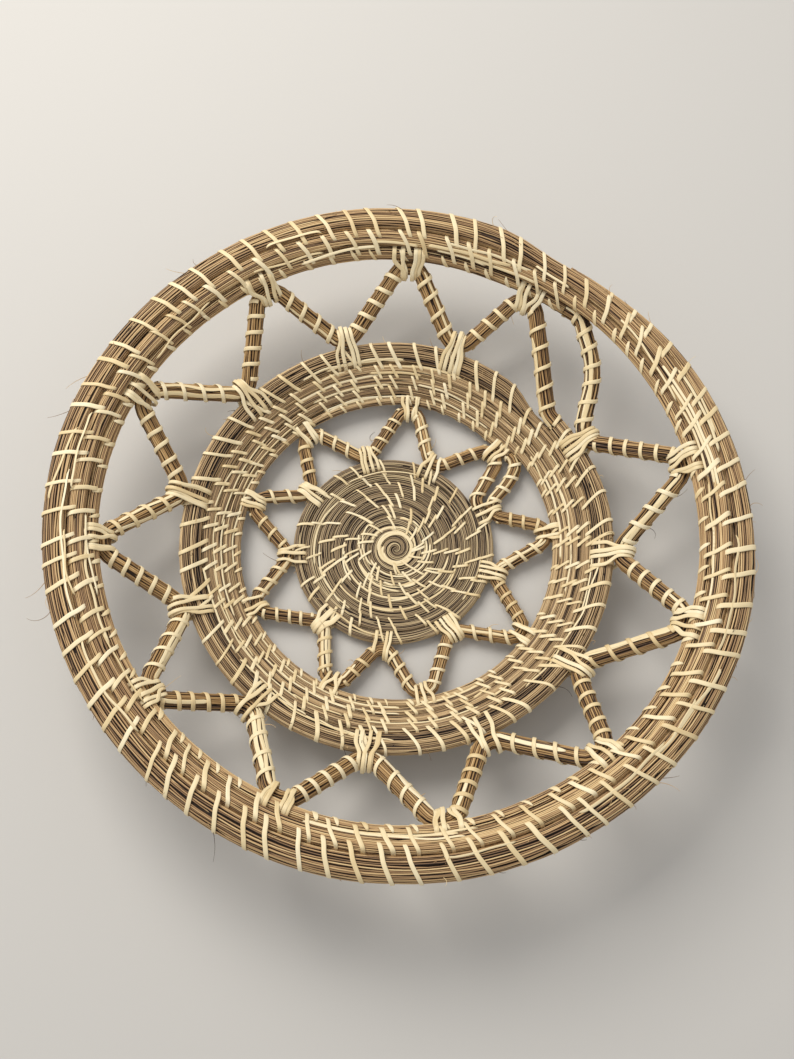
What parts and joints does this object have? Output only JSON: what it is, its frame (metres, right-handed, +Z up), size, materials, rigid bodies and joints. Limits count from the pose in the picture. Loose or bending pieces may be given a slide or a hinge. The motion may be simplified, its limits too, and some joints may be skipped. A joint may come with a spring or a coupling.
{
  "type": "coiled basket",
  "caption": "Round shallow coiled grass basket with open zigzag rings, lashed with pale leaf strips.",
  "frame": {"origin": "on the bowl's axis at the flat underside of the base coil", "axes": "+Z up along the bowl's axis, +Y towards the part of the rim that was uppermost in the picture"},
  "size_m": [0.3802, 0.3783, 0.0704],
  "materials": {
    "base_grass": "matte",
    "openwork_grass": "matte",
    "band_grass": "matte",
    "rim_grass": "satin",
    "leaf_strip": "satin"
  },
  "bodies": {
    "root": {"band_inner_lashing_01": "leaf_strip", "band_inner_lashing_02": "leaf_strip", "band_inner_lashing_03": "leaf_strip", "band_inner_lashing_04": "leaf_strip", "band_inner_lashing_05": "leaf_strip", "band_inner_lashing_06": "leaf_strip", "band_inner_lashing_07": "leaf_strip", "band_inner_lashing_08": "leaf_strip", "band_inner_lashing_09": "leaf_strip", "band_outer_lashing_01": "leaf_strip", "band_outer_lashing_02": "leaf_strip", "band_outer_lashing_03": "leaf_strip", "band_outer_lashing_04": "leaf_strip", "band_outer_lashing_05": "leaf_strip", "band_outer_lashing_06": "leaf_strip", "band_outer_lashing_07": "leaf_strip", "band_outer_lashing_08": "leaf_strip", "band_outer_lashing_09": "leaf_strip", "band_outer_lashing_10": "leaf_strip", "band_outer_lashing_11": "leaf_strip", "base_coil": "base_grass", "base_lashing_01": "leaf_strip", "base_lashing_02": "leaf_strip", "base_lashing_03": "leaf_strip", "base_lashing_04": "leaf_strip", "base_lashing_05": "leaf_strip", "base_lashing_06": "leaf_strip", "base_lashing_07": "leaf_strip", "base_lashing_08": "leaf_strip", "base_lashing_09": "leaf_strip", "inner_openwork": "openwork_grass", "middle_band_coil": "band_grass", "outer_openwork": "openwork_grass", "rim_binding": "leaf_strip", "rim_coil": "rim_grass", "rim_lashing_01": "leaf_strip", "rim_lashing_02": "leaf_strip", "rim_lashing_03": "leaf_strip", "rim_lashing_04": "leaf_strip", "rim_lashing_05": "leaf_strip", "rim_lashing_06": "leaf_strip", "rim_lashing_07": "leaf_strip", "rim_lashing_08": "leaf_strip", "rim_lashing_09": "leaf_strip", "rim_lashing_10": "leaf_strip", "rim_lashing_11": "leaf_strip"}
  },
  "joints": []
}
